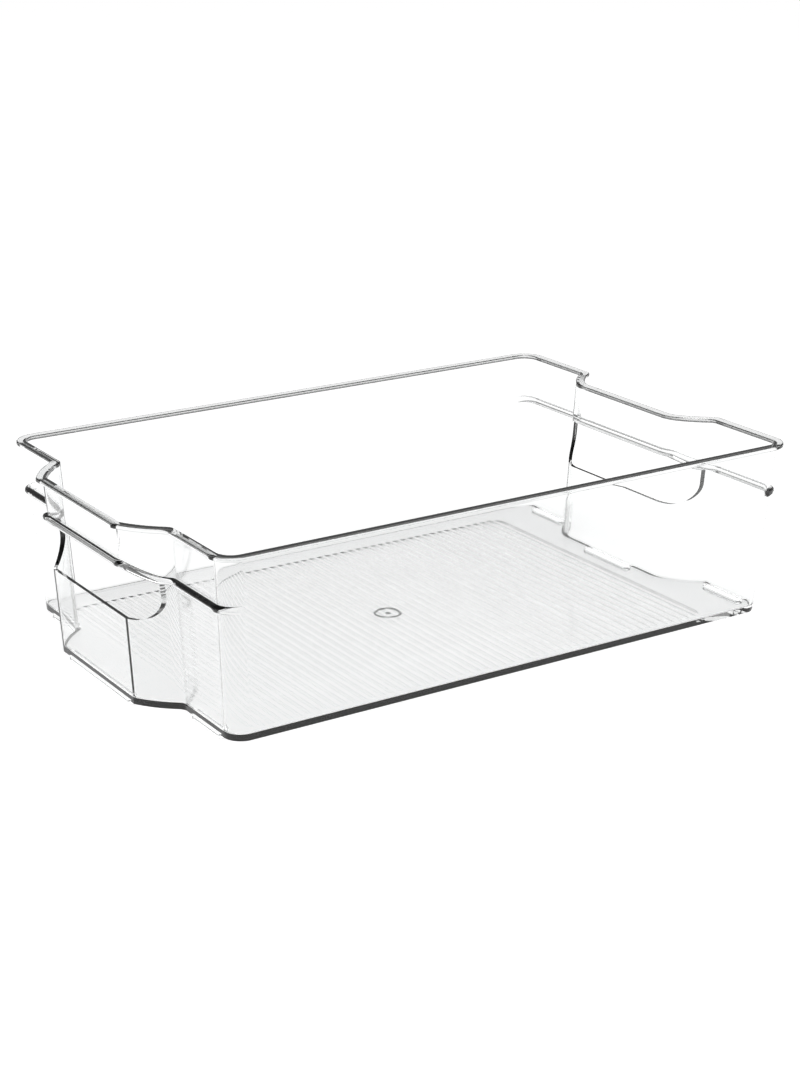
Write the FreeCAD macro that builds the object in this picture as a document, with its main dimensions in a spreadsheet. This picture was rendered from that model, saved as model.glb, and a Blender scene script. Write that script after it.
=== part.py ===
import FreeCAD, Part
import math
import os
import Sketcher

# An open storage bin for a fridge shelf, moulded in one piece from clear plastic.
# +Z is up, the long side lies along X, and the origin is on the shelf, under the middle.
# The walls lean outwards all the way up. "Spread" is how far an outer face has moved out
# from where it stood at the underside of the floor. One end carries a handle that juts out,
# and the other end has the same shape pushed in, so that bins fit together end to end.

doc = FreeCAD.newDocument("fridge_bin")
sheet = doc.addObject("Spreadsheet::Sheet", "Sizes")

DIMENSIONS = (
    ("total_length", 368.0),
    ("total_depth", 241.0),
    ("total_height", 99.5),
    ("wall_thick", 1.9),
    ("floor_thick", 3.0),
    ("draft_run", 5.8),
    ("corner_radius", 10.0),
    ("rim_thick", 2.4),
    ("rim_overhang", 3.5),
    ("step_depth", 18.0),
    ("handle_half", 41.5),
    ("step_end_half", 61.0),
    ("handle_turn", 30.0),
    ("step_turn", 26.0),
    ("panel_half", 40.0),
    ("step_outer_half", 66.0),
    ("grip_half", 58.5),
    ("grip_bottom", 49.3),
    ("grip_corner", 13.0),
    ("rib_low", 76.2),
    ("rib_drop", 6.5),
    ("rib_height", 4.0),
    ("rib_proud", 2.8),
    ("rib_bend_half", 44.0),
    ("rib_level_half", 60.0),
    ("rib_end_half", 115.0),
    ("foot_height", 2.8),
    ("foot_width", 5.0),
    ("foot_inset", 0.3),
    ("foot_round", 0.8),
    ("left_foot_half", 36.0),
    ("right_foot_half", 20.0),
    ("end_foot_start", 67.0),
    ("end_foot_stop", 97.0),
    ("gate_radius", 7.7),
    ("gate_wall", 1.0),
    ("gate_height", 0.4),
    ("gate_x", -5.0),
    ("gate_y", -9.0),
)


class Size:
    """A length or an angle: the sheet formula that gives it, and its value now."""

    def __init__(self, formula, value):
        self.formula = formula
        self.value = value

    def __add__(self, other):
        return Size(f"({self.formula} + {other.formula})", self.value + other.value)

    def __sub__(self, other):
        return Size(f"({self.formula} - {other.formula})", self.value - other.value)

    def __mul__(self, factor):
        return Size(f"({self.formula} * {factor})", self.value * factor)

    def __neg__(self):
        return self * -1


def fill_sheet():
    """Put every driving dimension in a cell of its own and return them by name."""
    sizes = {}
    for row, (alias, value) in enumerate(DIMENSIONS, start=1):
        sheet.set(f"A{row}", alias)
        sheet.set(f"B{row}", str(value))
        sheet.setAlias(f"B{row}", alias)
        sizes[alias] = Size(f"Sizes.{alias}", value)
    doc.recompute()
    return sizes


size = fill_sheet()

# Levels, from the shelf up.
floor_low = size["foot_height"]
floor_top = floor_low + size["floor_thick"]
rim_top = size["total_height"]
rim_low = rim_top - size["rim_thick"]
grip_bottom = size["grip_bottom"]
rib_low = size["rib_low"]

# Spread of the outer face where the walls start and end, and of both edges of the rim.
WALL_SLOPE = size["draft_run"].value / (rim_low - floor_low).value
top_of_wall = size["draft_run"]
rim_outer = top_of_wall + size["rim_overhang"]
rim_inner = top_of_wall - size["wall_thick"]

# Outer faces where the spread is nothing, and the corners' axes at the underside of the floor.
long_reach = size["total_length"] * 0.5 - rim_outer
short_reach = long_reach - size["step_depth"]
side_reach = size["total_depth"] * 0.5 - rim_outer
left_axis_x = size["corner_radius"] - short_reach
right_axis_x = long_reach - size["corner_radius"]
axis_y = side_reach - size["corner_radius"]

LEFT = -1
RIGHT = 1
FRONT = -1
REAR = 1
SIDE_NAMES = {LEFT: "left", RIGHT: "right"}
DEPTH_NAMES = {FRONT: "front", REAR: "rear"}

nodes = []


def point(x, y, z):
    return FreeCAD.Vector(x, y, z)


def wall_spread(height):
    """Spread of the outer face at a height, in millimetres."""
    return (height - floor_low.value) * WALL_SLOPE


def spread_size(level):
    """The same as a formula of the sheet, for a level that is a Size."""
    slope = "Sizes.draft_run / (Sizes.total_height - Sizes.rim_thick - Sizes.foot_height)"
    return Size(f"(({level.formula} - Sizes.foot_height) * {slope})", wall_spread(level.value))


# ---------------------------------------------------------------- bodies and sketches

def new_body(name):
    body = doc.addObject("PartDesign::Body", name)
    body.Label = name
    nodes.append(body)
    return body


def plane_of(body, role):
    return next(item for item in body.Origin.OriginFeatures if item.Role == role)


def polygon_sketch(body, name, role, corners):
    """A closed polygon on one origin plane, every corner bound to the sheet."""
    sketch = body.newObject("Sketcher::SketchObject", name)
    sketch.AttachmentSupport = [(plane_of(body, role), "")]
    sketch.MapMode = "FlatFace"
    count = len(corners)
    for index in range(count):
        start = corners[index]
        stop = corners[(index + 1) % count]
        line = Part.LineSegment(point(start[0].value, start[1].value, 0),
                                point(stop[0].value, stop[1].value, 0))
        sketch.addGeometry(line, False)
    for index in range(count):
        sketch.addConstraint(Sketcher.Constraint("Coincident", index, 2, (index + 1) % count, 1))
    for index, corner in enumerate(corners):
        for kind, part in (("DistanceX", corner[0]), ("DistanceY", corner[1])):
            added = sketch.addConstraint(Sketcher.Constraint(kind, -1, 1, index, 1, part.value))
            sketch.setExpression(f"Constraints[{added}]", part.formula)
    return sketch


def pad_up(body, sketch, length, name):
    """A pad of the sketch along its normal."""
    pad = body.newObject("PartDesign::Pad", name)
    pad.Profile = sketch
    pad.Length = length.value
    pad.setExpression("Length", length.formula)
    sketch.Visibility = False
    body.Tip = pad
    return pad


def place(thing, x=None, y=None, z=None):
    """Bind the position of a body to the sheet."""
    for axis, distance in (("x", x), ("y", y), ("z", z)):
        if distance is not None:
            thing.setExpression(f".Placement.Base.{axis}", distance.formula)


# ---------------------------------------------------------------- flat walls

def wall_section(reach, low, high, side):
    """Corners of a wall's leaning cross-section, as distance out and height.

    The wall stands at side times its reach, leans outwards with the spread and is
    wall_thick across, level with the horizontal.
    """
    outer_low = reach + spread_size(low)
    outer_high = reach + spread_size(high)
    inner_low = outer_low - size["wall_thick"]
    inner_high = outer_high - size["wall_thick"]
    return [(outer_low * side, low), (outer_high * side, high),
            (inner_high * side, high), (inner_low * side, low)]


def end_flat(name, side, reach, low, high, start, length):
    """A flat piece of an end wall: its cross-section in XZ, padded along Y from start."""
    body = new_body(name)
    section = polygon_sketch(body, f"{name}_section", "XZ_Plane",
                             wall_section(reach, low, high, side))
    pad = pad_up(body, section, length, f"{name}_pad")
    pad.Reversed = True
    place(body, y=start)
    return body


def long_wall(name, depth):
    """A front or rear wall: its cross-section in YZ, padded along X between the corner axes."""
    body = new_body(name)
    section = polygon_sketch(body, f"{name}_section", "YZ_Plane",
                             wall_section(side_reach, floor_top, rim_low, depth))
    pad_up(body, section, right_axis_x - left_axis_x, f"{name}_pad")
    place(body, x=left_axis_x)
    return body


# ---------------------------------------------------------------- plan outline of the ends

def end_plan(side, spread):
    """Distances that set one end's outline: x of the flats beside the handle, x of the
    handle, and the half widths where the step starts and ends.

    Moving a corner outwards by the spread slides it along by the tangent of half its turn.
    The pushed-in end is the other end's shape as the next bin would meet it.
    """
    jutting = side == LEFT
    flat_reach = short_reach.value if jutting else long_reach.value
    handle_reach = long_reach.value if jutting else short_reach.value
    slide = spread if jutting else rim_inner.value - spread
    first_turn = math.radians(size["handle_turn"].value)
    second_turn = first_turn + math.radians(size["step_turn"].value)
    handle_half = size["handle_half"].value + slide * math.tan(first_turn / 2)
    step_half = size["step_end_half"].value + slide * math.tan(second_turn / 2)
    return (side * (flat_reach + spread), side * (handle_reach + spread),
            handle_half, step_half)


def step_arc(side, depth, spread, height):
    """The step's curve in plan, from the handle's corner to the flat beside it.

    It is an arc that turns by step_turn, so its middle stands off the chord by a quarter
    turn's tangent times half the chord, always towards -X.
    """
    flat_x, handle_x, handle_half, step_half = end_plan(side, spread)
    start = point(handle_x, depth * handle_half, height)
    stop = point(flat_x, depth * step_half, height)
    chord = stop - start
    across = point(-abs(chord.y), -math.copysign(chord.x, chord.x * chord.y), 0)
    across.normalize()
    bulge = chord.Length / 2 * math.tan(math.radians(size["step_turn"].value) / 4)
    middle = (start + stop) * 0.5 + across * bulge
    return start, middle, stop


def corner_arc(side, depth, spread, height):
    """The rounded corner in plan, from the end flat to the long side.

    The wall's outer face keeps one radius, and its axis leans outwards with the wall.
    """
    lean = wall_spread(min(height, rim_low.value))
    axis_x = left_axis_x.value if side == LEFT else right_axis_x.value
    radius = size["corner_radius"].value + spread - lean
    centre = point(axis_x + side * lean, depth * (axis_y.value + lean), height)
    diagonal = radius * math.sqrt(0.5)
    start = centre + point(side * radius, 0, 0)
    middle = centre + point(side * diagonal, depth * diagonal, 0)
    stop = centre + point(0, depth * radius, 0)
    return start, middle, stop


def arc_edge(points):
    return Part.Arc(*points).toShape()


def line_edge(start, stop):
    return Part.LineSegment(start, stop).toShape()


def end_edges(side, spread, height):
    """Edges of one whole end, from the front long side round to the rear one."""
    front_corner = corner_arc(side, FRONT, spread, height)[::-1]
    front_step = step_arc(side, FRONT, spread, height)[::-1]
    rear_step = step_arc(side, REAR, spread, height)
    rear_corner = corner_arc(side, REAR, spread, height)
    return [arc_edge(front_corner), line_edge(front_corner[2], front_step[0]),
            arc_edge(front_step), line_edge(front_step[2], rear_step[0]),
            arc_edge(rear_step), line_edge(rear_step[2], rear_corner[0]),
            arc_edge(rear_corner)]


def outline(spread, height):
    """The closed outline of the whole bin at one spread."""
    left = end_edges(LEFT, spread, height)
    right = end_edges(RIGHT, spread, height)
    front = line_edge(left[0].firstVertex(True).Point, right[0].firstVertex(True).Point)
    rear = line_edge(left[-1].lastVertex(True).Point, right[-1].lastVertex(True).Point)
    return Part.Wire(Part.__sortEdges__(left + right + [front, rear]))


def end_band(side, outer, inner, height):
    """A closed strip of plan round one whole end, between two spreads."""
    outer_edges = end_edges(side, outer, height)
    inner_edges = end_edges(side, inner, height)
    front = line_edge(outer_edges[0].firstVertex(True).Point,
                      inner_edges[0].firstVertex(True).Point)
    rear = line_edge(outer_edges[-1].lastVertex(True).Point,
                     inner_edges[-1].lastVertex(True).Point)
    return Part.Wire(Part.__sortEdges__(outer_edges + inner_edges + [front, rear]))


def corner_band(side, depth, outer, height):
    """A closed strip of plan round one corner, one wall thick, with short flats at its ends."""
    loops = []
    for spread in (outer, outer - size["wall_thick"].value):
        arc = corner_arc(side, depth, spread, height)
        axis_x = left_axis_x.value if side == LEFT else right_axis_x.value
        first = point(arc[0].x, depth * axis_y.value, height)
        last = point(axis_x, arc[2].y, height)
        loops.append((first, arc, last))
    (first, arc, last), (inner_first, inner_arc, inner_last) = loops
    edges = [arc_edge(arc), line_edge(last, inner_last), arc_edge(inner_arc[::-1]),
             line_edge(inner_first, first), line_edge(first, arc[0]), line_edge(arc[2], last),
             line_edge(inner_last, inner_arc[2]), line_edge(inner_arc[0], inner_first)]
    return Part.Wire(Part.__sortEdges__(edges))


def step_band(side, depth, outer, height):
    """A closed strip of plan along one step, one wall thick, with short flats at its ends."""
    loops = []
    for spread in (outer, outer - size["wall_thick"].value):
        arc = step_arc(side, depth, spread, height)
        first = point(arc[0].x, depth * size["panel_half"].value, height)
        last = point(arc[2].x, depth * size["step_outer_half"].value, height)
        loops.append((first, arc, last))
    (first, arc, last), (inner_first, inner_arc, inner_last) = loops
    return Part.Wire([line_edge(first, arc[0]), arc_edge(arc), line_edge(arc[2], last),
                      line_edge(last, inner_last), line_edge(inner_last, inner_arc[2]),
                      arc_edge(inner_arc[::-1]), line_edge(inner_arc[0], inner_first),
                      line_edge(inner_first, first)])


# ---------------------------------------------------------------- shapes made from the plan

def new_shape(name, shape):
    """A sub-part that no sketch feature fits: a checked solid under its own name."""
    solid = shape.Solids[0] if shape.ShapeType != "Solid" else shape
    feature = doc.addObject("Part::Feature", name)
    feature.Label = name
    feature.Shape = solid
    feature.Placement = FreeCAD.Placement()
    nodes.append(feature)
    return feature


def leaning(make_wire, low, high):
    """A solid between one plan wire low down and the same wire spread out higher up."""
    low_wire = make_wire(wall_spread(low), low)
    high_wire = make_wire(wall_spread(high), high)
    return Part.makeLoft([low_wire, high_wire], True, True)


def grip_line(height_at_middle):
    """Heights of the rib's underside or top, as (half width, height) from the middle out."""
    bend = size["rib_bend_half"].value
    level = size["rib_level_half"].value
    low = height_at_middle - size["rib_drop"].value
    return ((bend, height_at_middle), (level, low), (size["rib_end_half"].value, low))


def side_face(pairs):
    """A face in the YZ plane from (y, z) pairs."""
    points = [point(0, y, z) for y, z in pairs]
    return Part.Face(Part.makePolygon(points + points[:1]))


def across_end(face, side):
    """The face pushed along X right through one end, and no further in than the steps."""
    reach = (size["total_length"] * 0.5).value
    depth = 3 * size["step_depth"].value
    face = face.copy()
    face.translate(point(side * reach - (depth if side == RIGHT else 0), 0, 0))
    return face.extrude(point(depth, 0, 0))


def grip_prism(side):
    """The finger gap: rounded at its lower corners, and cut along the rib's underside."""
    half = size["grip_half"].value
    low = size["grip_bottom"].value
    bend = size["rib_bend_half"].value
    run = size["rib_level_half"].value - bend
    high = rib_low.value
    corner = high - size["rib_drop"].value * (half - bend) / run
    face = side_face([(-half, low), (half, low), (half, corner), (bend, high),
                      (-bend, high), (-half, corner)])
    prism = across_end(face, side)
    lower_edges = [edge for edge in prism.Edges
                   if edge.BoundBox.YLength < 0.01 and edge.BoundBox.ZMax < low + 0.01
                   and edge.BoundBox.XLength > 1]
    return prism.makeFillet(size["grip_corner"].value, lower_edges)


def rib_slab(side):
    """The room that one rib may fill, seen along X: level, sloping down, level again."""
    bottom = grip_line(rib_low.value)
    top = grip_line((rib_low + size["rib_height"]).value)
    right_half = [(y, z) for y, z in bottom] + [(y, z) for y, z in reversed(top)]
    left_half = [(-y, z) for y, z in top] + [(-y, z) for y, z in reversed(bottom)]
    return across_end(side_face(right_half + left_half), side)


def rib(side, core):
    """The bead round an end: the bin's outside moved out along X, less the bin itself."""
    moved = core.copy()
    moved.translate(point(side * size["rib_proud"].value, 0, 0))
    slab = rib_slab(side)
    slab.translate(point(side * size["rib_proud"].value, 0, 0))
    return moved.common(slab).cut(core)


def corner_wall(side, depth):
    """A rounded corner between the end flat and the long side."""
    return leaning(lambda spread, height: corner_band(side, depth, spread, height),
                   floor_top.value, rim_low.value)


def step_wall(side, depth, gap):
    """The S-shaped stretch between the handle and the flat, with the finger gap cut out."""
    low = floor_top.value
    high = rim_low.value
    wall = leaning(lambda spread, height: step_band(side, depth, spread, height), low, high)
    return wall.cut(gap)


def end_rim(side):
    """The rim round one end, with both corners."""
    band = Part.Face(end_band(side, rim_outer.value, rim_inner.value, rim_low.value))
    return band.extrude(point(0, 0, size["rim_thick"].value))


# ---------------------------------------------------------------- rim, feet and gate mark

def long_rim(name, depth):
    """A straight length of rim over the front or rear wall, from corner to corner."""
    body = new_body(name)
    outer = (side_reach + rim_outer) * depth
    inner = (side_reach + rim_inner) * depth
    section = polygon_sketch(body, f"{name}_section", "YZ_Plane",
                             [(outer, rim_low), (outer, rim_top), (inner, rim_top),
                              (inner, rim_low)])
    pad_up(body, section, right_axis_x - left_axis_x + top_of_wall * 2, f"{name}_pad")
    place(body, x=left_axis_x - top_of_wall)


def foot(name, side, reach, start, stop):
    """A low runner under an end wall, rounded where it meets the shelf."""
    body = new_body(name)
    outer = (reach - size["foot_inset"]) * side
    inner = (reach - size["foot_inset"] - size["foot_width"]) * side
    plan = polygon_sketch(body, f"{name}_plan", "XY_Plane",
                          [(outer, start), (outer, stop), (inner, stop), (inner, start)])
    pad = pad_up(body, plan, size["foot_height"], f"{name}_pad")
    doc.recompute()
    lower = [f"Edge{index}" for index, edge in enumerate(pad.Shape.Edges, start=1)
             if edge.BoundBox.ZMax < 0.01]
    rounding = body.newObject("PartDesign::Fillet", f"{name}_rounding")
    rounding.Base = (pad, lower)
    rounding.Radius = size["foot_round"].value
    rounding.setExpression("Radius", size["foot_round"].formula)
    body.Tip = rounding


def gate_ring():
    """The low ring on the floor where the plastic entered the mould."""
    body = new_body("gate_ring")
    sketch = body.newObject("Sketcher::SketchObject", "gate_ring_plan")
    sketch.AttachmentSupport = [(plane_of(body, "XY_Plane"), "")]
    sketch.MapMode = "FlatFace"
    radii = (size["gate_radius"], size["gate_radius"] - size["gate_wall"])
    for index, radius in enumerate(radii):
        sketch.addGeometry(Part.Circle(point(0, 0, 0), point(0, 0, 1), radius.value), False)
        sketch.addConstraint(Sketcher.Constraint("Coincident", index, 3, -1, 1))
        added = sketch.addConstraint(Sketcher.Constraint("Radius", index, radius.value))
        sketch.setExpression(f"Constraints[{added}]", radius.formula)
    pad_up(body, sketch, size["gate_height"], "gate_ring_pad")
    place(body, x=size["gate_x"], y=size["gate_y"], z=floor_top)


# ---------------------------------------------------------------- the whole bin

def make_floor():
    new_shape("floor_panel", leaning(outline, floor_low.value, floor_top.value))


def make_walls():
    for depth in (FRONT, REAR):
        long_wall(f"{DEPTH_NAMES[depth]}_wall", depth)
        for side in (LEFT, RIGHT):
            new_shape(f"{DEPTH_NAMES[depth]}_{SIDE_NAMES[side]}_corner",
                      corner_wall(side, depth))


def make_end(side, core):
    """Everything that stands on the floor at one end, from the flats to the rib."""
    label = SIDE_NAMES[side]
    flat_reach = short_reach if side == LEFT else long_reach
    handle_reach = long_reach if side == LEFT else short_reach
    flat_length = axis_y - size["step_outer_half"]
    end_flat(f"{label}_end_front_wall", side, flat_reach, floor_top, rim_low,
             -axis_y, flat_length)
    end_flat(f"{label}_end_rear_wall", side, flat_reach, floor_top, rim_low,
             size["step_outer_half"], flat_length)
    panel_length = size["panel_half"] * 2
    end_flat(f"{label}_handle_panel", side, handle_reach, floor_top, grip_bottom,
             -size["panel_half"], panel_length)
    end_flat(f"{label}_handle_bar", side, handle_reach, rib_low, rim_low,
             -size["panel_half"], panel_length)
    gap = grip_prism(side)
    for depth in (FRONT, REAR):
        new_shape(f"{label}_{DEPTH_NAMES[depth]}_step", step_wall(side, depth, gap))
    new_shape(f"{label}_rib", rib(side, core))
    new_shape(f"{label}_rim", end_rim(side))


def make_feet(side):
    """Three runners under one end: one below the handle and one either side of it."""
    label = SIDE_NAMES[side]
    flat_reach = short_reach if side == LEFT else long_reach
    handle_reach = long_reach if side == LEFT else short_reach
    half = size[f"{label}_foot_half"]
    foot(f"{label}_handle_foot", side, handle_reach, -half, half)
    foot(f"front_{label}_foot", side, flat_reach, -size["end_foot_stop"],
         -size["end_foot_start"])
    foot(f"rear_{label}_foot", side, flat_reach, size["end_foot_start"],
         size["end_foot_stop"])


def check_document():
    """Stop unless every object computed and every sub-part is a valid solid."""
    for thing in doc.Objects:
        faults = [word for word in thing.State if word in ("Invalid", "Error")]
        if faults:
            raise RuntimeError(f"{thing.Label} is {faults}")
    for node in nodes:
        if node.Shape.isNull() or not node.Shape.isValid():
            raise RuntimeError(f"{node.Label} has no valid shape")
        if len(node.Shape.Solids) != 1:
            raise RuntimeError(f"{node.Label} has {len(node.Shape.Solids)} solids")


def write_parts():
    os.makedirs("parts", exist_ok=True)
    for node in nodes:
        node.Shape.exportStep(f"parts/{node.Label}.step")
        box = node.Shape.optimalBoundingBox()
        print(f"{node.Label:24s} x {box.XMin:8.2f} {box.XMax:8.2f}"
              f"  y {box.YMin:8.2f} {box.YMax:8.2f}  z {box.ZMin:7.2f} {box.ZMax:7.2f}"
              f"  volume {node.Shape.Volume:9.1f}")


make_floor()
make_walls()
bin_core = leaning(outline, floor_top.value, rim_low.value)
for end in (LEFT, RIGHT):
    make_end(end, bin_core)
    make_feet(end)
for long_side in (FRONT, REAR):
    long_rim(f"{DEPTH_NAMES[long_side]}_rim", long_side)
gate_ring()
doc.recompute()
check_document()
write_parts()
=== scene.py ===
import math

import bmesh
import bpy
import numpy as np
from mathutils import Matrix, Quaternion, Vector
from mathutils.geometry import delaunay_2d_cdt


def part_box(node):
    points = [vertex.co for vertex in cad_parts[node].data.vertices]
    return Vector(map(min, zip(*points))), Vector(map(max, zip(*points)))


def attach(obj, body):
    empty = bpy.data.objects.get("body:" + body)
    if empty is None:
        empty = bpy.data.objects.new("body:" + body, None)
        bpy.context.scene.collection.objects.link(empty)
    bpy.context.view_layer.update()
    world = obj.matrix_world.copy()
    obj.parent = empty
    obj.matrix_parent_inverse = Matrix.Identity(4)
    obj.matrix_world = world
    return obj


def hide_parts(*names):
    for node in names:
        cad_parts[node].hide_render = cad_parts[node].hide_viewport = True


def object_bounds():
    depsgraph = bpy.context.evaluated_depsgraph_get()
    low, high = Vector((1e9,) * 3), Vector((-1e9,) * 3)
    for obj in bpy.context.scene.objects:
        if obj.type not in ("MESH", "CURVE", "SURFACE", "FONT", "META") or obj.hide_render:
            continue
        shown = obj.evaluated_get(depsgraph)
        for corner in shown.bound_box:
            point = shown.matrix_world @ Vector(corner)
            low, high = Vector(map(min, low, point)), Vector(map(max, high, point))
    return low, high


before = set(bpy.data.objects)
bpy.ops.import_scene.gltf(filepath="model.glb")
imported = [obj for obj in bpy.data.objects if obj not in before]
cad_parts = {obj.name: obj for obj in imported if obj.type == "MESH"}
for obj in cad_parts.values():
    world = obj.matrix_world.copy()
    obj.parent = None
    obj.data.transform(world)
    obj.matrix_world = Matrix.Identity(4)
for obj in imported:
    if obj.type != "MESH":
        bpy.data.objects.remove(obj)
cad_low, cad_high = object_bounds()

MM = 0.001

# ---------------------------------------------------------------- sizes read from the frame

floor_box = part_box("floor_panel")
wall_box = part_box("front_wall")
rim_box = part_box("front_rim")
bar_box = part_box("left_handle_bar")
recess_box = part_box("right_handle_bar")
panel_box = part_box("left_handle_panel")
rib_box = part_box("left_rib")
gate_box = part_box("gate_ring")

BASE = floor_box[0].z
FLOOR = floor_box[1].z
WALL_TOP = wall_box[1].z
TOP = cad_high.z
THICK = rim_box[1].y - wall_box[0].y
SLOPE = (wall_box[1].y - THICK - wall_box[0].y) / (WALL_TOP - FLOOR)
SIDE_REACH = -(wall_box[1].y - THICK) - SLOPE * (FLOOR - BASE)
TOP_SPREAD = SLOPE * (WALL_TOP - BASE)
LONG_REACH = -bar_box[0].x - TOP_SPREAD
STEP_DEPTH = LONG_REACH - (recess_box[1].x - TOP_SPREAD)
RIM_OUTER = cad_high.y - SIDE_REACH
RIM_INNER = -rim_box[1].y - SIDE_REACH
AXIS_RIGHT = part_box("front_right_corner")[0].x
AXIS_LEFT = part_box("front_left_corner")[1].x
AXIS_SIDE = -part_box("front_right_corner")[1].y
CORNER_RADIUS = SIDE_REACH - AXIS_SIDE
GRIP_BOTTOM = panel_box[1].z
GRIP_TOP = bar_box[0].z
RIB_DROP = GRIP_TOP - rib_box[0].z
RIB_HEIGHT = rib_box[1].z - GRIP_TOP
RIB_PROUD = -rib_box[0].x - LONG_REACH - SLOPE * (rib_box[1].z - BASE)

# ---------------------------------------------------------------- sizes of the mould's curves

HANDLE_HALF = 41.5 * MM
STEP_END_HALF = 61.0 * MM
FLAT_START = STEP_END_HALF + 8.0 * MM
HANDLE_TURN = math.radians(30.0)
STEP_TURN = math.radians(26.0)
GRIP_HALF = 58.5 * MM
GRIP_CORNER = 13.0 * MM
RIB_BEND_HALF = 44.0 * MM
RIB_LEVEL_HALF = 60.0 * MM
RIB_EASE = 2.0 * MM
BEAD_FULLNESS = 2.2
BASE_ROUND = 0.2 * MM
FLOOR_ROUND = 1.2 * MM
RIM_ROUND = 0.7 * MM
RIM_TAPER = 0.2 * MM
FOOT_ROUND = 0.8 * MM
FOOT_CORNER = 1.6 * MM
GATE_RING_INSET = 0.8 * MM
GATE_RING_BELL = 0.5 * MM
GATE_MIDDLE_BELL = 1.1 * MM
GATE_SIDES = 72
LINE_PITCH = 5.3 * MM
LINE_SHARE = 0.2
LINE_DEPTH = 0.2 * MM
LINED_LOW = (-149.0 * MM, -105.5 * MM)
LINED_HIGH = (142.5 * MM, 92.5 * MM)
LINED_CORNER = 12.0 * MM
LINED_FADE = 2.5 * MM
LINED_STEP = 0.53 * MM

# half windows that round the corners of the steps
SOFT_PUSHED_IN = 5.0 * MM
SOFT_BELOW_GRIP = 0.12 * MM
SOFT_AT_RIB = 3.2 * MM
SOFT_AT_RIM = 1.1 * MM
FLAT_SOFT = 2.4 * MM

# two faces that meet at more than this keep a crisp edge between them
CRISP_ANGLE = math.radians(28.0)
WELD_DISTANCE = 1e-6

# ---------------------------------------------------------------- columns and rows of the skin

CORNER_COLUMNS = 20
LONG_COLUMNS = 14
LOWER_ROWS = 12
GAP_ROWS = 6
UPPER_ROWS = 8
RIB_ROWS = 13
LINING_ROWS = 4

# ---------------------------------------------------------------- light and camera

FLOOR_SIZE = 40.0
FLOOR_GREY = 0.6
FLOOR_GLOW = 0.87
ROOM_LIGHT = ((0.0, 0.9), (0.1, 0.55), (0.25, 0.34), (0.42, 0.3), (0.6, 0.1), (1.0, 0.2))
CAMERA_PLACE = (-0.6029, -0.9469, 0.4327)
CAMERA_AZIMUTH = math.radians(32.89)
CAMERA_ELEVATION = math.radians(19.24)
CAMERA_TILT = math.radians(-0.02)
CAMERA_LENS = 71.70

LEFT = -1
RIGHT = 1


def smooth(share):
    """0 below 0 and 1 above 1, with a smooth cubic between."""
    share = np.clip(share, 0.0, 1.0)
    return share * share * (3.0 - 2.0 * share)


def between(start, stop, share):
    return start + (stop - start) * share


# ---------------------------------------------------------------- the outline in plan

def step_ends(spread, side):
    """Half widths where the step starts and ends, for walls moved outwards by the spread.

    A corner that turns by an angle slides along by the tangent of half of it. The pushed-in
    end has the shape of the other end as the next bin would meet it.
    """
    slide = spread if side == LEFT else RIM_INNER - spread
    start = HANDLE_HALF + slide * math.tan(HANDLE_TURN / 2)
    stop = STEP_END_HALF + slide * math.tan((HANDLE_TURN + STEP_TURN) / 2)
    return start, stop


def rise_area(half, start, stop):
    """Area under the step, seen in plan, from its start to a half width.

    The step is an arc of a circle that turns by STEP_TURN. Its area is that of the circle's
    segment, y sqrt(R^2 - y^2) / 2 + R^2 asin(y / R) / 2, taken from the strip up to its centre.
    """
    chord = np.hypot(stop - start, STEP_DEPTH)
    radius = chord / (2 * math.sin(STEP_TURN / 2))
    first = np.arctan2(STEP_DEPTH, stop - start) - STEP_TURN / 2
    centre = start - radius * np.sin(first)
    reach = np.clip(half, start, stop) - centre
    begin = start - centre

    def segment(run):
        return (run * np.sqrt(radius**2 - run**2) + radius**2 * np.arcsin(run / radius)) / 2

    arc = radius * np.cos(first) * (reach - begin) - (segment(reach) - segment(begin))
    return arc + STEP_DEPTH * np.maximum(half - stop, 0.0)


def step_rise(half, spread, side, handle_soft, flat_soft):
    """How far the end wall stands towards +X of the handle's face, at a half width.

    The corners at both ends of the arc are rounded by taking the mean of the plain step
    over a window that reaches "soft" either side, which is its area there over its width.
    """
    start, stop = step_ends(spread, side)
    share = smooth((half - start) / (stop - start))
    soft = between(handle_soft, flat_soft, share)
    high = rise_area(half + soft, start, stop)
    low = rise_area(half - soft, start, stop)
    return (high - low) / (2 * soft)


# ---------------------------------------------------------------- columns round the bin

FLAT_GRIP_HALF = GRIP_HALF - GRIP_CORNER


def half_columns():
    """Half widths of an end's columns: closer together over the corners of the step."""
    middle = np.linspace(0.0, HANDLE_HALF - 5 * MM, 6, endpoint=False)
    handle = np.linspace(HANDLE_HALF - 5 * MM, HANDLE_HALF, 14, endpoint=False)
    edge = np.linspace(HANDLE_HALF, FLAT_GRIP_HALF, 12, endpoint=False)
    quarter = np.linspace(0.0, math.pi / 2, 16, endpoint=False)
    corner = FLAT_GRIP_HALF + GRIP_CORNER * np.sin(quarter)
    step = np.linspace(GRIP_HALF, FLAT_START, 22, endpoint=False)
    flat = np.linspace(FLAT_START, AXIS_SIDE, 5)
    return np.concatenate([middle, handle, edge, corner, step, flat])


HALF = half_columns()
END_COLUMNS = np.concatenate([-HALF[::-1], HALF[1:]])


def grip_floor(half):
    """Height of the finger gap's lower edge: level, then a quarter circle up its side."""
    run = np.clip(half - FLAT_GRIP_HALF, 0.0, GRIP_CORNER)
    return GRIP_BOTTOM + GRIP_CORNER - np.sqrt(GRIP_CORNER**2 - run**2)


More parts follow.
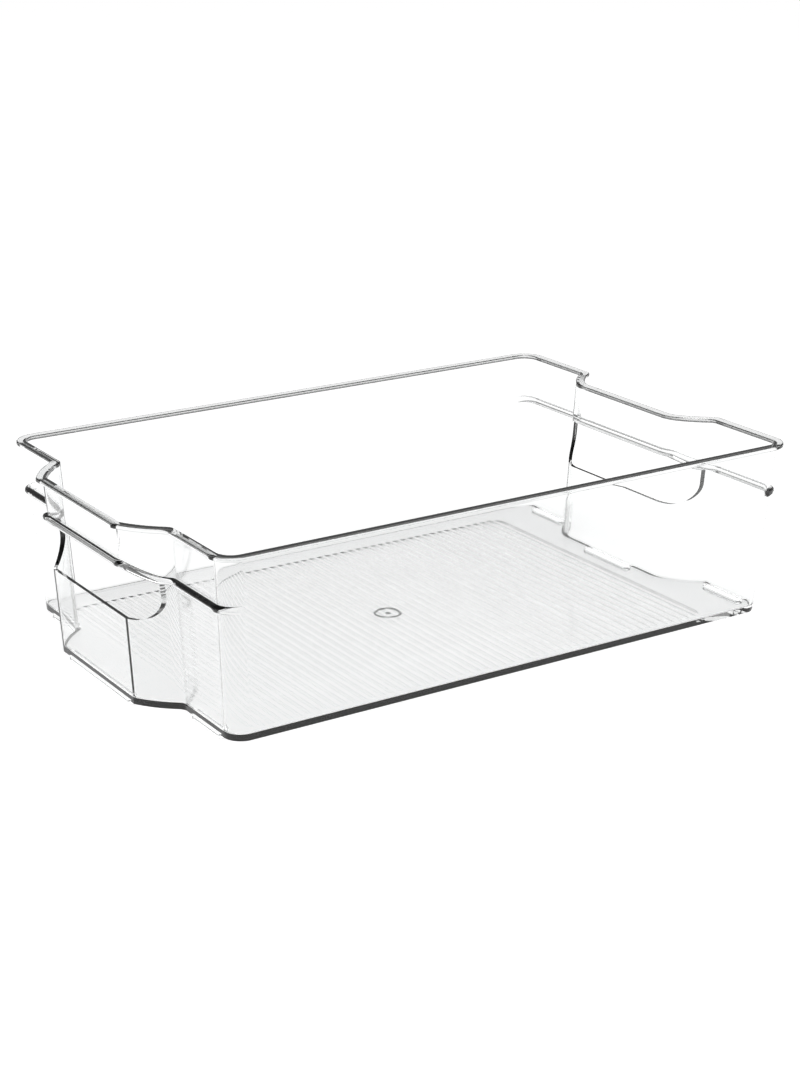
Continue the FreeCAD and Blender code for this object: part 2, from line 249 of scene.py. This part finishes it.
def grip_roof(half):
    """Height of the rib's underside: level, a straight slope down, then level again."""
    run = RIB_LEVEL_HALF - RIB_BEND_HALF

    def ramp_area(value):
        inside = np.clip(value - RIB_BEND_HALF, 0.0, run)
        beyond = np.maximum(value - RIB_LEVEL_HALF, 0.0)
        return inside**2 / (2 * run) + beyond

    share = (ramp_area(half + RIB_EASE) - ramp_area(half - RIB_EASE)) / (2 * RIB_EASE)
    return GRIP_TOP - RIB_DROP * share


def handle_edge_columns(half, spread, side):
    """Moves the columns near the handle's corner so that one of them runs along it."""
    start, _ = step_ends(spread, side)
    inner = half * start / HANDLE_HALF
    share = (half - HANDLE_HALF) / (FLAT_GRIP_HALF - HANDLE_HALF)
    outer = between(start, FLAT_GRIP_HALF, share)
    return np.where(half < HANDLE_HALF, inner, np.where(half < FLAT_GRIP_HALF, outer, half))


def corner_softness(height, side):
    """Half window that rounds the handle's corner, by height.

    The jutting handle's corner is sharp below the finger gap and rounder at the rib than at
    the rim. The pushed-in handle's corner is well rounded all the way up.
    """
    if side == RIGHT:
        return np.full_like(height, SOFT_PUSHED_IN)
    up_to_rim = smooth((height - GRIP_TOP) / (WALL_TOP - GRIP_TOP))
    up_to_rib = smooth((height - GRIP_BOTTOM) / (GRIP_TOP - GRIP_BOTTOM))
    return between(SOFT_BELOW_GRIP, between(SOFT_AT_RIB, SOFT_AT_RIM, up_to_rim), up_to_rib)


def end_points(side, spread, height, proud):
    """Points of one end's columns, row by row, from the front long side to the rear one.

    x is the handle's face plus the step's rise, then moved outwards by the rib.
    """
    columns = END_COLUMNS[None, :]
    half = handle_edge_columns(np.abs(columns), spread, side)
    lean = wall_spread(np.minimum(height, WALL_TOP))
    half = half + lean * np.clip((half - FLAT_START) / (AXIS_SIDE - FLAT_START), 0.0, 1.0)
    rise = step_rise(half, spread, side, corner_softness(height, side), FLAT_SOFT)
    handle_x = -(LONG_REACH + spread) if side == LEFT else LONG_REACH - STEP_DEPTH + spread
    x = handle_x + side * proud + rise
    return np.stack(np.broadcast_arrays(x, np.sign(columns) * half, height), axis=-1)


def corner_points(side, depth, spread, height, proud):
    """A quarter circle about the corner's axis, from the end flat to the long side.

    The axis leans outwards with the wall, so that the wall's outer face keeps one radius.
    """
    angle = np.linspace(0.0, math.pi / 2, CORNER_COLUMNS + 1)[None, :]
    lean = wall_spread(np.minimum(height, WALL_TOP))
    centre_x = (AXIS_LEFT if side == LEFT else AXIS_RIGHT) + side * lean
    radius = CORNER_RADIUS + spread - lean
    x = centre_x + side * (radius * np.cos(angle) + proud)
    y = depth * (AXIS_SIDE + lean + radius * np.sin(angle))
    return np.stack(np.broadcast_arrays(x, y, height), axis=-1)


def long_points(depth, spread, height):
    """A straight long side, from left to right, without the ends that the corners hold."""
    share = np.linspace(0.0, 1.0, LONG_COLUMNS + 1)[None, 1:-1]
    x = between(AXIS_LEFT + 4 * MM, AXIS_RIGHT - 4 * MM, share)
    y = depth * (SIDE_REACH + spread)
    return np.stack(np.broadcast_arrays(x, y, height), axis=-1)


class Ring:
    """The columns all the way round the bin, anticlockwise from above, and what each holds."""

    def __init__(self):
        end = np.abs(END_COLUMNS)
        corner = np.full(CORNER_COLUMNS, AXIS_SIDE)
        long_side = np.full(LONG_COLUMNS - 1, AXIS_SIDE)
        plain = np.concatenate([corner, long_side, corner])
        self.half = np.concatenate([end, plain, end, plain])
        self.low = grip_floor(np.minimum(self.half, GRIP_HALF))
        self.high = grip_roof(self.half)
        wide = self.half <= GRIP_HALF + 1e-9
        self.open_face = wide & np.roll(wide, -1)
        self.open_column = wide

    def points(self, spread, height, rib=0.0):
        """Rows of points at a spread and a height, pushed out along X by the rib."""
        count = len(self.half)
        shape = np.broadcast_shapes(np.shape(spread), np.shape(height), np.shape(rib))
        grids = [np.broadcast_to(value, (shape[0], count)) for value in (spread, height, rib)]
        ends = len(END_COLUMNS)
        longs = LONG_COLUMNS - 1
        edges = np.cumsum([0, ends, CORNER_COLUMNS, longs, CORNER_COLUMNS, ends,
                           CORNER_COLUMNS, longs, CORNER_COLUMNS])

        def span(index, extra=0):
            stop = edges[index + 1] + extra
            return [grid[:, edges[index]:stop] for grid in grids]

        def turned(block):
            return [value[:, ::-1] for value in block]

        def corner(side, depth, block, backwards):
            """The quarter circle without the end column, which the flat beside it holds."""
            first = [value[:, :1] for value in block]
            padded = [np.concatenate([one, value], axis=1) for one, value in zip(first, block)]
            if backwards:
                points = corner_points(side, depth, *turned(padded))
                return points[:, ::-1][:, :-1]
            return corner_points(side, depth, *padded)[:, 1:]

        right_end = end_points(RIGHT, *span(0))
        rear_right = corner(RIGHT, 1, span(1), False)
        rear = long_points(1, *turned(span(2)[:2]))[:, ::-1]
        rear_left = corner(LEFT, 1, span(3), True)
        left_end = end_points(LEFT, *turned(span(4)))[:, ::-1]
        front_left = corner(LEFT, -1, span(5), False)
        front = long_points(-1, *span(6)[:2])
        front_right = corner(RIGHT, -1, span(7), True)
        return np.concatenate([right_end, rear_right, rear, rear_left, left_end,
                               front_left, front, front_right], axis=1)


ring = Ring()


def wall_spread(height):
    """Spread of the outer face at a height."""
    return SLOPE * (height - BASE)


# ---------------------------------------------------------------- patches of the skin

class Skin:
    """Collects patches of points and faces, and welds them into one mesh."""

    def __init__(self):
        self.points = []
        self.faces = []
        self.count = 0

    def add(self, points, faces):
        points = np.asarray(points, float).reshape(-1, 3)
        self.points.append(points)
        self.faces.append([tuple(face) for face in np.asarray(faces) + self.count])
        self.count += len(points)

    def grid(self, grid, closed=False, keep=None, flip=False):
        """A patch of quads over rows and columns; "keep" says which columns' faces stay."""
        rows, columns = grid.shape[:2]
        index = np.arange(rows * columns).reshape(rows, columns)
        right = np.roll(index, -1, axis=1)
        faces = np.stack([index[:-1], right[:-1], right[1:], index[1:]], axis=-1)
        if not closed:
            faces = faces[:, :-1]
            keep = None if keep is None else keep[:-1]
        if keep is not None:
            faces = faces[:, keep]
        faces = faces.reshape(-1, 4)
        self.add(grid, faces[:, ::-1] if flip else faces)

    def level(self, loops, height, facing):
        """A level patch inside the first loop and outside the others, facing up or down.

        The patch is the constrained Delaunay triangulation of all the loops.
        """
        flat = [Vector((x, y)) for loop in loops for x, y in loop]
        edges = []
        start = 0
        for loop in loops:
            count = len(loop)
            edges += [(start + i, start + (i + 1) % count) for i in range(count)]
            start += count
        made = delaunay_2d_cdt(flat, edges, [], 5, 1e-9)
        corners = np.array([[point.x, point.y, height] for point in made[0]])
        triangles = np.array([face for face in made[2] if len(face) == 3])
        first, second, third = (corners[triangles[:, i], :2] for i in range(3))
        turn = np.cross(second - first, third - first)
        wrong = turn < 0 if facing > 0 else turn > 0
        triangles[wrong] = triangles[wrong][:, ::-1]
        centre = (first + second + third) / 3
        inside = inside_loop(centre, loops[0])
        for hole in loops[1:]:
            inside &= ~inside_loop(centre, hole)
        self.add(corners, triangles[inside])

    def mesh(self, name):
        data = bpy.data.meshes.new(name)
        faces = [face for patch in self.faces for face in patch]
        data.from_pydata(np.concatenate(self.points), [], faces)
        work = bmesh.new()
        work.from_mesh(data)
        bmesh.ops.remove_doubles(work, verts=work.verts, dist=WELD_DISTANCE)
        bmesh.ops.dissolve_degenerate(work, edges=work.edges, dist=1e-7)
        bmesh.ops.recalc_face_normals(work, faces=work.faces)
        work.to_mesh(data)
        work.free()
        data.shade_smooth()
        data.set_sharp_from_angle(angle=CRISP_ANGLE)
        return data


def inside_loop(points, loop):
    """Whether points lie inside a closed loop, by counting the edges to their right."""
    loop = np.asarray(loop)
    start = loop[None, :, :]
    stop = np.roll(loop, -1, axis=0)[None, :, :]
    x = points[:, None, 0]
    y = points[:, None, 1]
    crosses = (start[..., 1] > y) != (stop[..., 1] > y)
    height = np.where(crosses, stop[..., 1] - start[..., 1], 1.0)
    where = start[..., 0] + (y - start[..., 1]) * (stop[..., 0] - start[..., 0]) / height
    return (np.sum(crosses & (where > x), axis=1) % 2) == 1


def rows_between(start, stop, count):
    """Heights in equal steps from one level to another, column by column."""
    share = np.linspace(0.0, 1.0, count)[:, None]
    return between(np.asarray(start)[None, ...], np.asarray(stop)[None, ...], share)


def outer_wall(skin):
    """The outside, from the rounded lower edge up to the rim, round the finger gaps."""
    turn = np.linspace(0.0, math.pi / 2, 5)[:, None]
    low_spread = BASE_ROUND * (np.sin(turn) - 1) + wall_spread(BASE + BASE_ROUND)
    low_height = BASE + BASE_ROUND * (1 - np.cos(turn))
    edge = ring.points(low_spread, low_height)
    skin.grid(edge, closed=True)
    height = rows_between(BASE + BASE_ROUND, ring.low, LOWER_ROWS)
    lower = ring.points(wall_spread(height), height)
    skin.grid(lower, closed=True)
    height = rows_between(ring.low, ring.high, GAP_ROWS)
    gap = ring.points(wall_spread(height), height)
    skin.grid(gap, closed=True, keep=~ring.open_face)
    turn = np.linspace(0.0, math.pi, RIB_ROWS)[:, None]
    share = (1 - np.cos(turn)) / 2
    height = ring.high[None, :] + RIB_HEIGHT * share
    bulge = (1 - np.abs(2 * share - 1) ** BEAD_FULLNESS) ** (1 / BEAD_FULLNESS)
    fades = np.where(ring.half < AXIS_SIDE, 1.0, rib_fade())
    bead = ring.points(wall_spread(height), height, RIB_PROUD * bulge * fades[None, :])
    skin.grid(bead, closed=True)
    height = rows_between(ring.high + RIB_HEIGHT, np.full(len(ring.half), WALL_TOP), UPPER_ROWS)
    upper = ring.points(wall_spread(height), height)
    skin.grid(upper, closed=True)
    return edge[0], lower[-1], gap, bead[0]


def rib_fade():
    """The rib runs on round the corners at its full reach along X, and stops there."""
    longs = LONG_COLUMNS - 1
    ends = len(END_COLUMNS)
    corner = np.ones(CORNER_COLUMNS)
    plain = np.concatenate([corner, np.zeros(longs), corner])
    return np.concatenate([np.ones(ends), plain, np.ones(ends), plain])


def rim(skin):
    """The flange: underside rising outwards, rounded outer edge, flat top, rounded inner edge."""
    quarter = np.linspace(0.0, math.pi / 2, 5)
    low_edge = np.stack([RIM_OUTER - RIM_ROUND + RIM_ROUND * np.sin(quarter),
                         WALL_TOP + RIM_TAPER + RIM_ROUND - RIM_ROUND * np.cos(quarter)])
    high_edge = np.stack([RIM_OUTER - RIM_ROUND + RIM_ROUND * np.cos(quarter),
                          TOP - RIM_ROUND + RIM_ROUND * np.sin(quarter)])
    inner_edge = np.stack([RIM_INNER + RIM_ROUND - RIM_ROUND * np.sin(quarter),
                           TOP - RIM_ROUND + RIM_ROUND * np.cos(quarter)])
    start = np.array([[TOP_SPREAD], [WALL_TOP]])
    stop = np.array([[RIM_INNER], [WALL_TOP]])
    spread, height = np.concatenate([start, low_edge, high_edge, inner_edge, stop], axis=1)
    skin.grid(ring.points(spread[:, None], height[:, None]), closed=True)


def inner_wall(skin):
    """The inside, from the rim down to the rounded edge of the floor."""
    count = len(ring.half)
    height = rows_between(np.full(count, WALL_TOP), ring.high, UPPER_ROWS)
    upper = ring.points(wall_spread(height) - THICK, height)
    skin.grid(upper, closed=True)
    height = rows_between(ring.high, ring.low, GAP_ROWS)
    gap = ring.points(wall_spread(height) - THICK, height)
    skin.grid(gap, closed=True, keep=~ring.open_face)
    height = rows_between(ring.low, np.full(count, FLOOR + FLOOR_ROUND), LOWER_ROWS)
    lower = ring.points(wall_spread(height) - THICK, height)
    skin.grid(lower, closed=True)
    turn = np.linspace(0.0, math.pi / 2, 6)[:, None]
    spread = wall_spread(FLOOR + FLOOR_ROUND) - THICK - FLOOR_ROUND * (1 - np.cos(turn))
    height = FLOOR + FLOOR_ROUND * (1 - np.sin(turn))
    edge = ring.points(spread, height)
    skin.grid(edge, closed=True)
    return upper[-1], gap[::-1], lower[0], edge[-1]


def grip_lining(skin, outer_low, outer_gap, outer_high, inner_high, inner_gap, inner_low):
    """The cut faces of both finger gaps, straight across the wall's thickness."""
    share = np.linspace(0.0, 1.0, LINING_ROWS)[:, None, None]
    skin.grid(between(outer_low[None], inner_low[None], share), closed=True,
              keep=ring.open_face)
    skin.grid(between(outer_high[None], inner_high[None], share), closed=True,
              keep=ring.open_face, flip=True)
    starts = np.flatnonzero(ring.open_column & ~np.roll(ring.open_column, 1))
    stops = np.flatnonzero(ring.open_column & ~np.roll(ring.open_column, -1))
    for column in starts:
        side = between(outer_gap[None, :, column], inner_gap[None, :, column], share)
        skin.grid(side, flip=True)
    for column in stops:
        skin.grid(between(outer_gap[None, :, column], inner_gap[None, :, column], share))


# ---------------------------------------------------------------- the floor and its marks

def lined_mask(x, y):
    """1 well inside a rectangle with rounded corners, fading to 0 at its edge."""
    centre_x, centre_y = ((low + high) / 2 for low, high in zip(LINED_LOW, LINED_HIGH))
    half_x, half_y = ((high - low) / 2 for low, high in zip(LINED_LOW, LINED_HIGH))
    far_x = np.maximum(np.abs(x - centre_x) - (half_x - LINED_CORNER), 0.0)
    far_y = np.maximum(np.abs(y - centre_y) - (half_y - LINED_CORNER), 0.0)
    return smooth((LINED_CORNER - np.hypot(far_x, far_y)) / LINED_FADE)


def lined_relief(x, y):
    """How far the underside is cut away: low saw teeth that run across the bin.

    Each tooth falls slowly over most of the pitch and rises again over the rest of it.
    """
    phase = ((x - LINED_LOW[0]) / LINE_PITCH + 1e-6) % 1.0
    falling = 1.0 - phase / (1.0 - LINE_SHARE)
    rising = (phase - (1.0 - LINE_SHARE)) / LINE_SHARE
    tooth = np.where(phase < 1.0 - LINE_SHARE, falling, rising)
    return tooth * LINE_DEPTH * lined_mask(x, y)


def lined_floor(skin):
    """The lined part of the underside: a height over an uneven grid. Gives its edge."""
    steps = round((LINED_HIGH[0] - LINED_LOW[0]) / LINED_STEP)
    x = np.linspace(LINED_LOW[0], LINED_HIGH[0], steps + 1)
    low_edge = np.linspace(LINED_LOW[1], LINED_LOW[1] + LINED_CORNER, 15)
    middle = np.linspace(LINED_LOW[1] + LINED_CORNER, LINED_HIGH[1] - LINED_CORNER, 30)
    high_edge = np.linspace(LINED_HIGH[1] - LINED_CORNER, LINED_HIGH[1], 15)
    y = np.concatenate([low_edge, middle[1:-1], high_edge])
    across, along = np.meshgrid(x, y)
    height = BASE + lined_relief(across, along)
    height[0] = height[-1] = BASE
    height[:, 0] = height[:, -1] = BASE
    skin.grid(np.stack([across, along, height], axis=-1), flip=True)
    low = np.stack([x, np.full_like(x, y[0])], axis=1)
    right = np.stack([np.full_like(y, x[-1]), y], axis=1)
    high = np.stack([x[::-1], np.full_like(x, y[-1])], axis=1)
    left = np.stack([np.full_like(y, x[0]), y[::-1]], axis=1)
    return np.concatenate([low[:-1], right[:-1], high[:-1], left[:-1]])


def gate_mark(skin):
    """The gate's mark on the floor: a profile turned about its axis. Gives its edge.

    The profile is a low bell at the ring's radius and another at the middle.
    """
    low, high = gate_box
    reach = (high.x - low.x) / 2
    radius = np.concatenate([np.linspace(0.02 * MM, reach - 1.6 * MM, 14),
                             np.linspace(reach - 1.6 * MM, reach, 16)[1:]])[:, None]
    turn = np.linspace(0.0, 2 * math.pi, GATE_SIDES, endpoint=False)[None, :]
    bells = (np.exp(-(((radius - reach + GATE_RING_INSET) / GATE_RING_BELL) ** 2))
             + np.exp(-((radius / GATE_MIDDLE_BELL) ** 2)))
    height = FLOOR + (high.z - low.z) * np.where(radius < reach, bells, 0.0)
    x = (low.x + high.x) / 2 + radius * np.cos(turn)
    y = (low.y + high.y) / 2 + radius * np.sin(turn)
    patch = np.stack(np.broadcast_arrays(x, y, height), axis=-1)
    skin.grid(patch, closed=True)
    skin.add(patch[0], [tuple(range(GATE_SIDES))])
    return patch[-1, :, :2]


def foot_loop(box, inset):
    """A rounded rectangle in plan: quarter circles about four centres, joined by straights."""
    low, high = box
    radius = FOOT_CORNER
    quarter = np.linspace(0.0, math.pi / 2, 7)
    starts = np.repeat([0.0, 0.5, 1.0, 1.5], len(quarter)) * math.pi
    angle = starts + np.tile(quarter, 4)
    centre_x = np.repeat([high.x, low.x, low.x, high.x], len(quarter))
    centre_y = np.repeat([high.y, high.y, low.y, low.y], len(quarter))
    towards_x = np.repeat([-1, 1, 1, -1], len(quarter)) * radius
    towards_y = np.repeat([-1, -1, 1, 1], len(quarter)) * radius
    x = centre_x + towards_x + (radius - inset) * np.cos(angle)
    y = centre_y + towards_y + (radius - inset) * np.sin(angle)
    return np.stack([x, y], axis=1)


def foot(skin, node):
    """A low runner under the floor: its plan carried down and rounded in at the bottom."""
    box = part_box(node)
    turn = np.linspace(0.0, math.pi / 2, 5)
    insets = np.concatenate([[0.0], FOOT_ROUND * (1 - np.cos(turn))])
    heights = np.concatenate([[BASE], FOOT_ROUND * (1 - np.sin(turn))])
    plans = [foot_loop(box, inset) for inset in insets]
    loops = [np.column_stack([plan, np.full(len(plan), height)])
             for plan, height in zip(plans, heights)]
    skin.grid(np.stack(loops), closed=True, flip=True)
    skin.level([foot_loop(box, FOOT_ROUND)], 0.0, -1)
    return foot_loop(box, 0.0)


def bin_skin():
    """The whole moulding as one closed skin."""
    skin = Skin()
    base_edge, outer_low, outer_gap, outer_high = outer_wall(skin)
    rim(skin)
    inner_high, inner_gap, inner_low, floor_edge = inner_wall(skin)
    grip_lining(skin, outer_low, outer_gap, outer_high, inner_high, inner_gap, inner_low)
    skin.level([floor_edge[:, :2], gate_mark(skin)], FLOOR, 1)
    lined_edge = lined_floor(skin)
    feet = [foot(skin, node) for node in sorted(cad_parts) if node.endswith("_foot")]
    skin.level([base_edge[:, :2], lined_edge, *feet], BASE, -1)
    return skin.mesh("clear_bin")


# ---------------------------------------------------------------- materials and stage

def clear_plastic():
    """Clear moulded plastic: it refracts as polystyrene does, and a long path in it greys.

    Its polish varies a little from place to place, and its faces are very slightly wavy.
    """
    material = bpy.data.materials.new("clear_plastic")
    material.use_nodes = True
    nodes = material.node_tree.nodes
    shader = nodes["Principled BSDF"]
    links = material.node_tree.links
    shader.inputs["Base Color"].default_value = (0.985, 0.99, 0.99, 1.0)
    shader.inputs["IOR"].default_value = 1.57
    shader.inputs["Transmission Weight"].default_value = 1.0
    place = nodes.new("ShaderNodeTexCoord")
    haze = nodes.new("ShaderNodeTexNoise")
    haze.inputs["Scale"].default_value = 55.0
    haze.inputs["Detail"].default_value = 3.0
    links.new(place.outputs["Object"], haze.inputs["Vector"])
    rough = nodes.new("ShaderNodeMapRange")
    rough.inputs["From Min"].default_value = 0.3
    rough.inputs["From Max"].default_value = 0.7
    rough.inputs["To Min"].default_value = 0.008
    rough.inputs["To Max"].default_value = 0.035
    links.new(haze.outputs["Fac"], rough.inputs["Value"])
    links.new(rough.outputs["Result"], shader.inputs["Roughness"])
    wave = nodes.new("ShaderNodeTexNoise")
    wave.inputs["Scale"].default_value = 28.0
    wave.inputs["Detail"].default_value = 1.0
    links.new(place.outputs["Object"], wave.inputs["Vector"])
    bump = nodes.new("ShaderNodeBump")
    bump.inputs["Strength"].default_value = 0.2
    bump.inputs["Distance"].default_value = 0.0002
    links.new(wave.outputs["Fac"], bump.inputs["Height"])
    links.new(bump.outputs["Normal"], shader.inputs["Normal"])
    absorption = nodes.new("ShaderNodeVolumeAbsorption")
    absorption.inputs["Color"].default_value = (0.0, 0.0, 0.0, 1.0)
    absorption.inputs["Density"].default_value = 3.0
    output = nodes["Material Output"]
    links.new(absorption.outputs["Volume"], output.inputs["Volume"])
    return material


def lit_floor():
    """A plain pale floor that glows evenly all over, as a light table does."""
    material = bpy.data.materials.new("pale_floor")
    material.use_nodes = True
    shader = material.node_tree.nodes["Principled BSDF"]
    shader.inputs["Base Color"].default_value = (FLOOR_GREY, FLOOR_GREY, FLOOR_GREY, 1.0)
    shader.inputs["Roughness"].default_value = 1.0
    shader.inputs["Specular IOR Level"].default_value = 0.0
    shader.inputs["Emission Color"].default_value = (1.0, 1.0, 1.0, 1.0)
    shader.inputs["Emission Strength"].default_value = FLOOR_GLOW
    return material


def make_floor():
    bpy.ops.mesh.primitive_plane_add(size=FLOOR_SIZE)
    floor = bpy.context.object
    floor.name = "studio_floor"
    floor.data.materials.append(lit_floor())


def make_world():
    """Soft even light: white at the horizon, greyer higher up, as ROOM_LIGHT lists by height."""
    world = bpy.data.worlds.new("studio")
    bpy.context.scene.world = world
    world.use_nodes = True
    nodes = world.node_tree.nodes
    links = world.node_tree.links
    background = nodes["Background"]
    place = nodes.new("ShaderNodeTexCoord")
    split = nodes.new("ShaderNodeSeparateXYZ")
    ramp = nodes.new("ShaderNodeValToRGB")
    links.new(place.outputs["Generated"], split.inputs[0])
    links.new(split.outputs["Z"], ramp.inputs["Fac"])
    links.new(ramp.outputs["Color"], background.inputs["Color"])
    elements = ramp.color_ramp.elements
    while len(elements) < len(ROOM_LIGHT):
        elements.new(0.5)
    for element, (position, grey) in zip(elements, ROOM_LIGHT):
        element.position = position
        element.color = (grey, grey, grey, 1.0)
    background.inputs["Strength"].default_value = 1.0


def soft_box(name, place, aim, size, power):
    light = bpy.data.lights.new(name, "AREA")
    light.shape = "SQUARE"
    light.size = size
    light.energy = power
    lamp = bpy.data.objects.new(name, light)
    lamp.location = place
    lamp.rotation_euler = (Vector(aim) - Vector(place)).to_track_quat("-Z", "Y").to_euler()
    bpy.context.scene.collection.objects.link(lamp)


def make_camera():
    """A long lens, a little above the bin, in front of its left end."""
    level_part = math.cos(CAMERA_ELEVATION)
    ahead = Vector((math.sin(CAMERA_AZIMUTH) * level_part, math.cos(CAMERA_AZIMUTH) * level_part,
                    -math.sin(CAMERA_ELEVATION)))
    data = bpy.data.cameras.new("camera")
    data.lens = CAMERA_LENS
    data.sensor_width = 36.0
    data.clip_end = 100.0
    camera = bpy.data.objects.new("camera", data)
    camera.location = CAMERA_PLACE
    camera.rotation_mode = "QUATERNION"
    level = ahead.to_track_quat("-Z", "Y")
    camera.rotation_quaternion = level @ Quaternion((0.0, 0.0, 1.0), CAMERA_TILT)
    bpy.context.scene.collection.objects.link(camera)
    bpy.context.scene.camera = camera


def make_bin():
    clear_bin = bpy.data.objects.new("clear_bin", bin_skin())
    bpy.context.scene.collection.objects.link(clear_bin)
    clear_bin.data.materials.append(clear_plastic())
    even = clear_bin.modifiers.new("even_shading", "WEIGHTED_NORMAL")
    even.keep_sharp = True
    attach(clear_bin, "root")
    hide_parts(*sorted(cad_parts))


make_camera()
make_world()
soft_box("overhead", (0.0, 0.0, 2.2), (0.0, 0.0, 0.0), 1.0, 12.0)
make_floor()
make_bin()
bpy.context.scene.view_settings.view_transform = "Standard"
